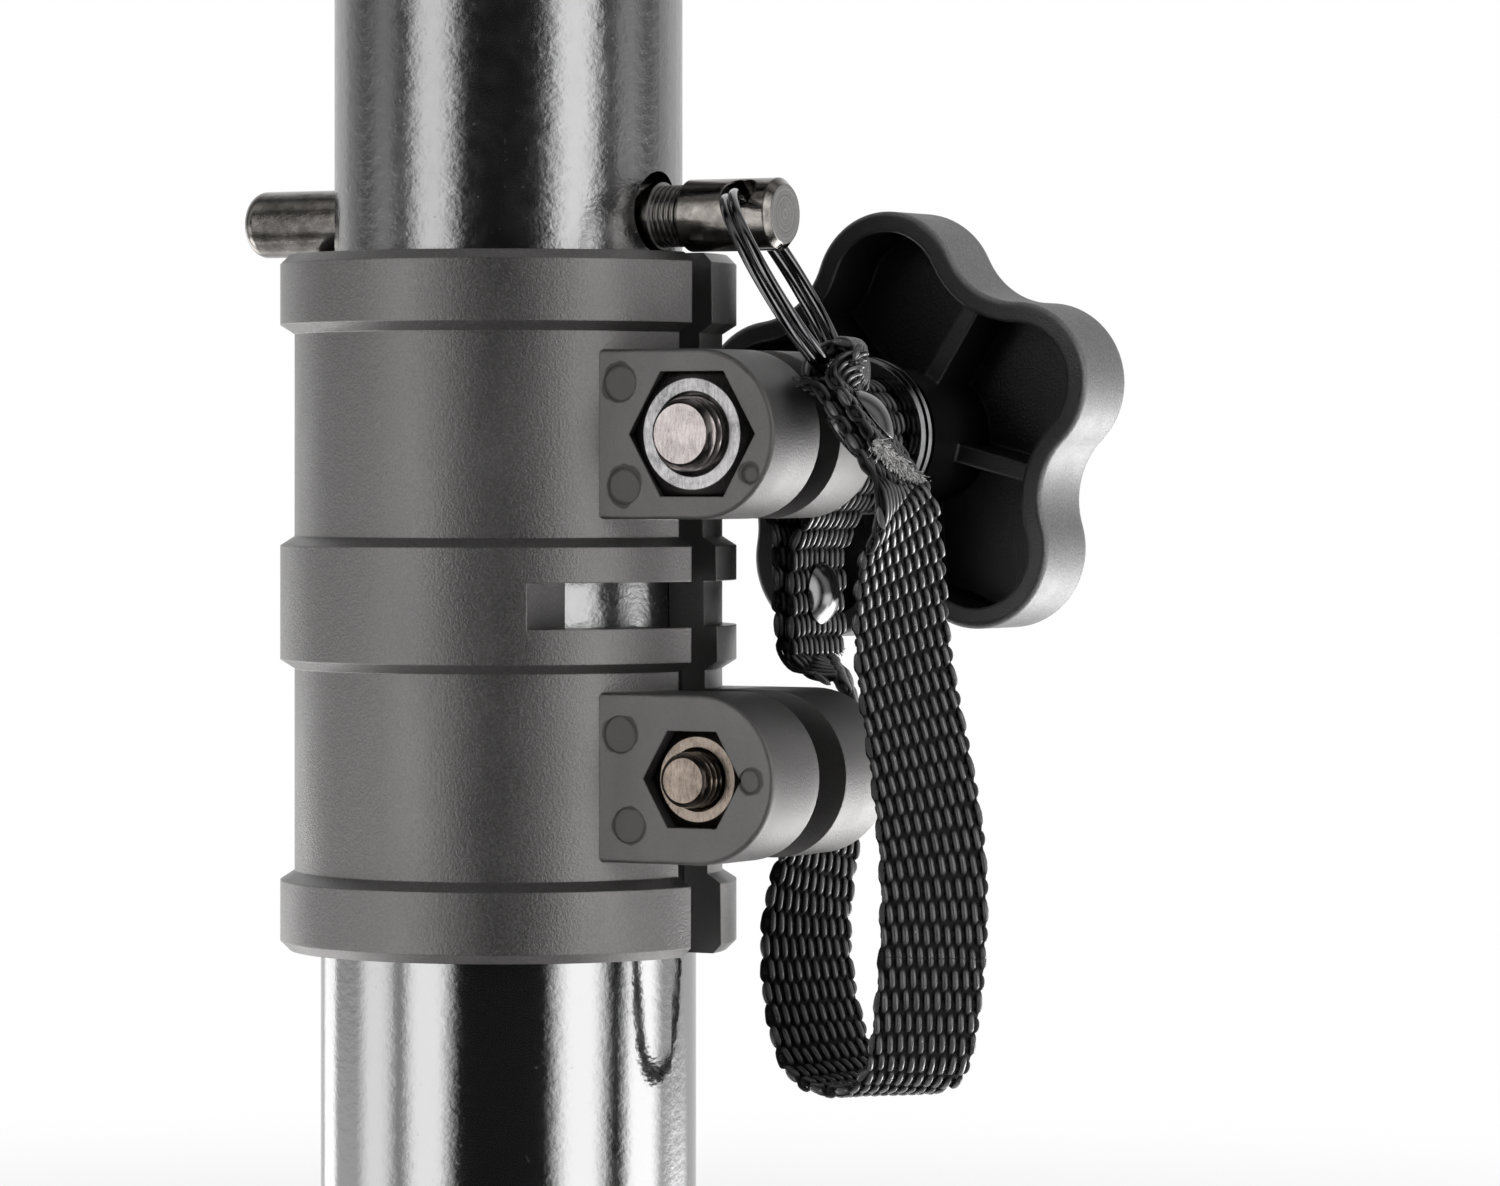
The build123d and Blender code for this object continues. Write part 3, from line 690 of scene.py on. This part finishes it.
def weave(shape, lay, zero):
    """Warp yarns that rise and fall over the rows, a core in painted shade, weft across each row and its
    loops.
    """
    lengths = np.linspace(0, lay.length, int(lay.length / STEP))
    place_at, across, face, share = lay.at(lengths)
    forward = np.cross(across, face)
    for i in range(YARNS):
        side = (i - (YARNS - 1) / 2) * YARN_PITCH
        phase = pi * (lengths - zero) / ROW + pi * i + SLIPS[i]
        rise = np.tanh(FLOAT_FLAT * np.cos(phase)) / np.tanh(FLOAT_FLAT)
        half_wide = (CROSS_WIDE + (FLOAT_WIDE - CROSS_WIDE) * np.abs(rise)) * THICKS[i] * share
        aside = (side + SWAY * np.sin(phase)) * share
        centres = place_at + across * aside[:, None] + face * (LIFT * rise)[:, None]
        high = face * (YARN_HIGH * THICKS[i])
        shape.sweep(centres, across * half_wide[:, None], high, 8, start=i, lift=rise * FLOAT_OUT)
    core_wide = across * (EDGE * share)[:, None]
    shape.sweep(place_at, core_wide, face * CORE_HIGH, 8, lift=np.zeros(len(lengths)))
    line = np.linspace(-1, 1, WEFT_POINTS)
    bead = np.linspace(-1, 1, LOOP_POINTS)
    swell = np.sqrt(np.clip(1 - bead**2, 0.01, 1))
    first = int(np.ceil(-zero / ROW))
    for k in range(first, first + int(lay.length / ROW)):
        spot = int((zero + k * ROW) / lay.length * (len(lengths) - 1))
        width = EDGE * share[spot]
        dip = np.cos(pi * k + pi * (line * EDGE / YARN_PITCH + (YARNS - 1) / 2)) * -WEFT_DIP
        centres = place_at[spot] + across[spot] * (line * width)[:, None] + face[spot] * dip[:, None]
        wide = np.tile(face[spot] * WEFT_R, (WEFT_POINTS, 1))
        high = np.tile(forward[spot] * WEFT_R * WEFT_FLAT, (WEFT_POINTS, 1))
        shape.sweep(centres, wide, high, 6, start=k, lift=np.full(WEFT_POINTS, WEFT_OUT))
        for sign, every, long in LOOPS:
            if k % every or spot < END_STEPS or spot > len(lengths) - END_STEPS:
                continue
            outward = across[spot] * sign
            centres = place_at[spot] + outward * width + forward[spot] * (bead * long)[:, None]
            centres = centres - outward * (bead**2 * LOOP_CURL)[:, None]
            wide = across[spot] * (swell * LOOP_WIDE)[:, None]
            high = face[spot] * (swell * LOOP_HIGH)[:, None]
            shape.sweep(centres, wide, high, 8, start=rng.uniform(0, 1))


FRAY_POINTS = 5


def fray(shape, lay, at_end, count, long, tint_index):
    """Cut fibre ends that stand out of the strap's end."""
    end = np.array([lay.length if at_end else 0.0])
    place_at, across, face = (v[0] for v in lay.at(end)[:3])
    out = np.cross(across, face) * (1 if at_end else -1)
    t = np.linspace(0, 1, FRAY_POINTS)[:, None]
    for i in range(count):
        side = rng.uniform(-0.97, 0.97) * mm(STRAP_W / 2)
        root = place_at + across * side + face * rng.uniform(-0.7, 0.7) * mm(STRAP_T / 2) - out * mm(0.5)
        lean = out + across * rng.gauss(0, 0.35) + face * rng.gauss(0, 0.4)
        curl = across * rng.gauss(0, 0.3) + face * rng.gauss(0, 0.3)
        reach = mm(long) * rng.uniform(0.5, 1.0)
        centres = root + lean * t * reach + curl * t**2 * reach
        size = mm(rng.uniform(0.04, 0.1))
        wide = np.tile(across * size, (FRAY_POINTS, 1))
        high = np.tile(face * size, (FRAY_POINTS, 1))
        shape.sweep(centres, wide, high, 4, tint_index, i)


rear_lay = Lay(REAR_ROUTE)
rear_shape = Shape()
weave(rear_shape, rear_lay, rear_lay.length)
fray(rear_shape, rear_lay, at_end=False, count=70, long=0.9, tint_index=0)
strap_rear = rear_shape.piece("webbing_rear", ["webbing"])
front_lay = Lay(FRONT_ROUTE)
front_shape = Shape()
weave(front_shape, front_lay, 0.0)
fray(front_shape, front_lay, at_end=True, count=700, long=1.0, tint_index=1)
strap_front = front_shape.piece("webbing_front", ["webbing", "fray"])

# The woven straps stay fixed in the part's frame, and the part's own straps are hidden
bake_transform(strap_rear)
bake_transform(strap_front)
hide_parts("strap_rear")
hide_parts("strap_front")


# Screws with real threads. The flanks run between two shares of half a pitch, counted from the crest
SIDES = 72
ROWS_A_TURN = 10
FLANK_FROM = 0.125
FLANK_TO = 0.75
SHARP_DEGREES = 28


def turned(name, look, z, rows):
    """A piece turned about a screw's axis: each row is a place along it and a radius at every side."""
    turns = np.linspace(0, 2 * pi, SIDES, endpoint=False)
    points = [
        mm(BOLT_X + r * cos(t), y, z + r * sin(t))
        for y, radii in rows
        for t, r in zip(turns, np.broadcast_to(radii, SIDES))
    ]
    index = np.arange(len(points)).reshape(-1, SIDES)
    following = np.roll(index, -1, axis=1)
    quads = np.stack([index[:-1], index[1:], following[1:], following[:-1]], axis=-1).reshape(-1, 4)
    faces = quads.tolist() + [index[0].tolist(), index[-1][::-1].tolist()]
    mesh = bpy.data.meshes.new(name)
    mesh.from_pydata(points, [], faces)
    mesh.polygons.foreach_set("use_smooth", [True] * len(mesh.polygons))
    mesh.set_sharp_from_angle(angle=radians(SHARP_DEGREES))
    mesh.materials.append(LOOKS[look])
    made = bpy.data.objects.new(name, mesh)
    scene.collection.objects.link(made)
    return made


def thread(tip, end, crest, root, pitch, chamfer):
    """Rows of a right-hand thread from a chamfered tip to its other end."""
    turns = np.linspace(0, 1, SIDES, endpoint=False)
    rows = []
    for y in np.arange(tip, end, pitch / ROWS_A_TURN):
        from_crest = 2 * np.abs((-y / pitch - turns + 0.5) % 1 - 0.5)
        height = np.clip((FLANK_TO - from_crest) / (FLANK_TO - FLANK_FROM), 0, 1)
        rows.append((y, np.minimum(root + (crest - root) * height, crest - chamfer + (y - tip))))
    return rows


stud_rows = thread(tip=-15.7, end=38.0, crest=3.97, root=3.3, pitch=1.25, chamfer=0.8)
stud = turned("stud_thread", "stud_zinc", UPPER_Z, stud_rows)
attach(stud, "knob")
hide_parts("knob_stud")

# The lower screw has a knurled head with a hexagonal socket
HEAD_FROM = 7.3
HEAD_TO = 13.3
HEAD_R = 5.0
KNURL_DEEP = 0.1
SOCKET_HALF = 2.5
SOCKET_FLOOR = 10.3
knurl = HEAD_R - KNURL_DEEP * (np.arange(SIDES) % 2)
from_flat = (np.linspace(0, 2 * pi, SIDES, endpoint=False) + pi / 6) % (pi / 3) - pi / 6
hexagon = SOCKET_HALF / np.cos(from_flat)
screw_rows = thread(tip=-15.1, end=HEAD_FROM, crest=2.97, root=2.42, pitch=1.0, chamfer=0.6)
screw_rows += [
    (HEAD_FROM, 4.7),
    (7.6, knurl),
    (12.4, knurl),
    (12.9, 4.75),
    (HEAD_TO, 4.4),
    (HEAD_TO, hexagon),
    (SOCKET_FLOOR, hexagon),
]
screw = turned("screw_thread", "screw_zinc", LOWER_Z, screw_rows)
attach(screw, "clamp")
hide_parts("lower_screw")

# The ring as one double coil of wire that crosses over once: turns in degrees, places in wire thicknesses
COIL_TURNS = [30, 330, 390, 690]
COIL_PLACES = [-0.48, -0.48, 0.48, 0.48]
COIL_POINTS = 221
foot = np.array(RING_FOOT)
beside = np.array(RING_AXIS.cross(RING_FOOT))
coil = np.radians(np.linspace(COIL_TURNS[0], COIL_TURNS[-1], COIL_POINTS))
spokes = np.cos(coil)[:, None] * foot + np.sin(coil)[:, None] * beside
shift = np.interp(np.degrees(coil), COIL_TURNS, COIL_PLACES) * WIRE
centres = np.array(RING_AT) + spokes * RING_R + shift[:, None] * np.array(RING_AXIS)
ring_shape = Shape()
thick = np.full((len(coil), 1), mm(WIRE / 2))
ring_shape.sweep(centres * 0.001, spokes * thick, np.array(RING_AXIS) * thick, 16)
ring = ring_shape.piece("ring_coil", ["black_steel"])
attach(ring, "pin")
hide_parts("split_ring")


# Camera at the photograph's viewing angle
VIEW_TURN = 29.1
camera_data = bpy.data.cameras.new("camera")
camera_data.lens = 153.72
camera_data.sensor_width = 36.0
camera_data.shift_y = -0.082
camera_data.clip_start = 0.01
camera_data.clip_end = 20
camera = bpy.data.objects.new("camera", camera_data)
camera.location = mm(363.47, -598.8, 98.2)
camera.rotation_euler = (radians(90), 0, radians(VIEW_TURN))
scene.collection.objects.link(camera)
scene.camera = camera


def seen_at(turn):
    """Level direction from the mast, this many degrees from the camera towards the picture's right."""
    angle = radians(VIEW_TURN + turn)
    return Vector((sin(angle), -cos(angle), 0))


# Soft boxes: degrees from the camera towards the picture's right, distance, width, height, level, radiance
# and faded share
LAMP_AIM = Vector((0, 0, 0.085))
SOFT_BOXES = {
    "right_strip": (46.5, 0.8, 0.68, 2.2, 0.085, 3.0, 0.75),
    "left_strip": (-49.0, 0.8, 0.64, 2.2, 0.085, 2.5, 0.75),
    "right_side": (91.0, 0.8, 0.58, 0.42, -0.08, 2.5, 0.7),
    "left_side": (-84.0, 0.8, 0.58, 0.42, -0.08, 1.6, 0.7),
    "right_rim": (128.0, 0.9, 0.7, 0.8, -0.4, 9.0, 0.6),
    "left_rim": (-140.0, 0.9, 0.55, 1.1, -0.33, 2.3, 0.6),
    "right_low": (112.0, 0.8, 0.6, 0.6, -0.5, 5.0, 0.4),
    "left_low": (-105.0, 0.8, 0.5, 0.5, -0.5, 4.2, 0.4),
}


def soft_box(name, turn, far, wide, high, level, glow, fade):
    """A large area light that faces the mast: its middle glows at this radiance and its sides fade out."""
    data = bpy.data.lights.new(name, "AREA")
    data.shape = "RECTANGLE"
    data.size, data.size_y = wide, high
    data.energy = glow * pi * wide * high
    data.use_nodes = True
    tree = data.node_tree
    surface = node(tree, "NewGeometry").outputs["Parametric"]
    shares = []
    for axis in "XY":
        from_side = maths(tree, "PINGPONG", part_of(tree, surface, axis), 0.5)
        shares.append(spread(tree, from_side, 0, 1, 0, fade / 2, "SMOOTHSTEP"))
    tree.links.new(maths(tree, "MULTIPLY", *shares), tree.nodes["Emission"].inputs["Strength"])
    lamp = bpy.data.objects.new(name, data)
    lamp.location = seen_at(turn) * far + Vector((0, 0, level))
    lamp.rotation_euler = (LAMP_AIM - lamp.location).to_track_quat("-Z", "Y").to_euler()
    lamp.visible_camera = False
    scene.collection.objects.link(lamp)


for name, sizes in SOFT_BOXES.items():
    soft_box(name, *sizes)

# White surround: seen by the camera all round. Other rays see it behind the object, dimmer on the left and
# with a dim gap above the horizon
LEFT_GLOW = 0.6
RIGHT_GLOW = 0.75
GAP_AT = 0.3
GAP_HALF = 0.28
GAP_DEEP = 0.8
FILL = 0.18
world = bpy.data.worlds.new("studio")
world.use_nodes = True
scene.world = world
tree = world.node_tree
direction = node(tree, "TexCoord").outputs["Generated"]
behind = vector_maths(tree, "DOT_PRODUCT", direction, -seen_at(0))
rightward = vector_maths(tree, "DOT_PRODUCT", direction, seen_at(90))
height = part_of(tree, direction, "Z")
level_side = spread(tree, behind, 0.015, 1.0, -0.3, -0.12)
level_side = maths(tree, "MULTIPLY", level_side, spread(tree, rightward, LEFT_GLOW, RIGHT_GLOW, -0.2, 0.2))
from_gap = maths(tree, "ABSOLUTE", maths(tree, "SUBTRACT", behind, GAP_AT))
gap = spread(tree, from_gap, GAP_DEEP, 0, 0, GAP_HALF)
gap = maths(tree, "MULTIPLY", gap, spread(tree, height, 0, 1, 0, 0.04))
level_side = maths(tree, "MULTIPLY", level_side, maths(tree, "SUBTRACT", 1.0, gap))
low_side = spread(tree, behind, 0.0, 1.0, -0.1, 0.2)
low_side = maths(tree, "MULTIPLY", low_side, spread(tree, height, 1.0, 0, -0.1, 0))
glow = maths(tree, "MAXIMUM", level_side, low_side)
glow = maths(tree, "MAXIMUM", glow, spread(tree, behind, 0, 1.0, 0.6, 0.68))
path = node(tree, "LightPath").outputs
fill = maths(tree, "MULTIPLY", path["Is Diffuse Ray"], FILL)
lit = maths(tree, "MAXIMUM", maths(tree, "MAXIMUM", glow, fill), path["Is Camera Ray"])
tree.links.new(lit, tree.nodes["Background"].inputs["Strength"])
tree.nodes["Background"].inputs["Color"].default_value = (1, 1, 1, 1)

# Pale floor: a soft shadow under the object that fades into the white surround
FLOOR_R = 1.6
FLOOR_GREY = (0.85, 0.85, 0.85, 1)
corners = [(FLOOR_R * x, FLOOR_R * y, 0) for x, y in ((-1, -1), (1, -1), (1, 1), (-1, 1))]
floor_mesh = bpy.data.meshes.new("floor")
floor_mesh.from_pydata(corners, [], [(0, 1, 2, 3)])
floor = bpy.data.objects.new("floor", floor_mesh)
scene.collection.objects.link(floor)
floor_look = bpy.data.materials.new("floor")
floor_look.use_nodes = True
tree = floor_look.node_tree
tree.nodes.remove(tree.nodes["Principled BSDF"])
path = node(tree, "LightPath").outputs
far = vector_maths(tree, "LENGTH", node(tree, "TexCoord").outputs["Object"])
white = spread(tree, far, 0.6, 1, 0.04, 0.3, "SMOOTHSTEP")
white = maths(tree, "MULTIPLY", path["Is Camera Ray"], white)
through = maths(tree, "MAXIMUM", path["Is Glossy Ray"], path["Is Shadow Ray"])
matt = node(tree, "BsdfDiffuse", {"Color": FLOOR_GREY}).outputs["BSDF"]
bright = node(tree, "Emission", {"Color": (1, 1, 1, 1), "Strength": 1.0}).outputs["Emission"]
clear = node(tree, "BsdfTransparent").outputs["BSDF"]
shown = node(tree, "MixShader", {0: white, 1: matt, 2: bright}).outputs["Shader"]
surface = node(tree, "MixShader", {0: through, 1: shown, 2: clear}).outputs["Shader"]
tree.links.new(surface, tree.nodes["Material Output"].inputs["Surface"])
floor_mesh.materials.append(floor_look)

scene.view_settings.view_transform = "Standard"
